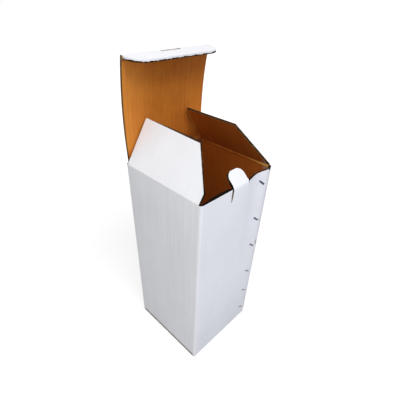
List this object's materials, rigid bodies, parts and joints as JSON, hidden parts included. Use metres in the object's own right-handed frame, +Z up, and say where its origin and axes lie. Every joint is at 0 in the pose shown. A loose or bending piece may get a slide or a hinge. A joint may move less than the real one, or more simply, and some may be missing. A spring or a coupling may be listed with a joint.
{
  "type": "cardboard box",
  "caption": "Tall tuck-top carton of white-lined corrugated board, standing open, with hinged lid, tuck flap and dust flaps and a wire-stitched side joint.",
  "frame": {"origin": "middle of the base, on the surface the box stands on", "axes": "+Z up; -Y towards the front panel with the lock tongue; the lid is hinged on the back wall at +Y; +X to the right seen from the front, where the stitched joint is"},
  "size_m": [0.13, 0.129, 0.3985],
  "materials": {
    "board_body": "matt",
    "board_lid": "matt",
    "board_tuck": "matt",
    "board_left": "matt",
    "board_right": "matt",
    "stitch_wire": "dull galvanised"
  },
  "bodies": {
    "carton": {"box_body": "board_body", "wire_stitches": "stitch_wire"},
    "lid_panel": {"lid": "board_lid"},
    "tuck": {"tuck_flap": "board_tuck"},
    "left_flap": {"left_dust_flap": "board_left"},
    "right_flap": {"right_dust_flap": "board_right"}
  },
  "joints": [
    {"name": "lid_fold", "type": "hinge", "parent": "carton", "child": "lid_panel", "pos_m": [0, 0.0635, 0.2853], "axis": [-1, 0, 0], "range_deg": [-1, 172]},
    {"name": "tuck_fold", "type": "hinge", "parent": "lid_panel", "child": "tuck", "pos_m": [0, 0.05618, 0.39856], "axis": [-1, 0, 0], "range_deg": [-10, 107]},
    {"name": "left_flap_fold", "type": "hinge", "parent": "carton", "child": "left_flap", "pos_m": [-0.065, 0, 0.282], "axis": [0, -1, 0], "range_deg": [-57, 205]},
    {"name": "right_flap_fold", "type": "hinge", "parent": "carton", "child": "right_flap", "pos_m": [0.065, 0, 0.282], "axis": [0, 1, 0], "range_deg": [-57, 205]}
  ]
}
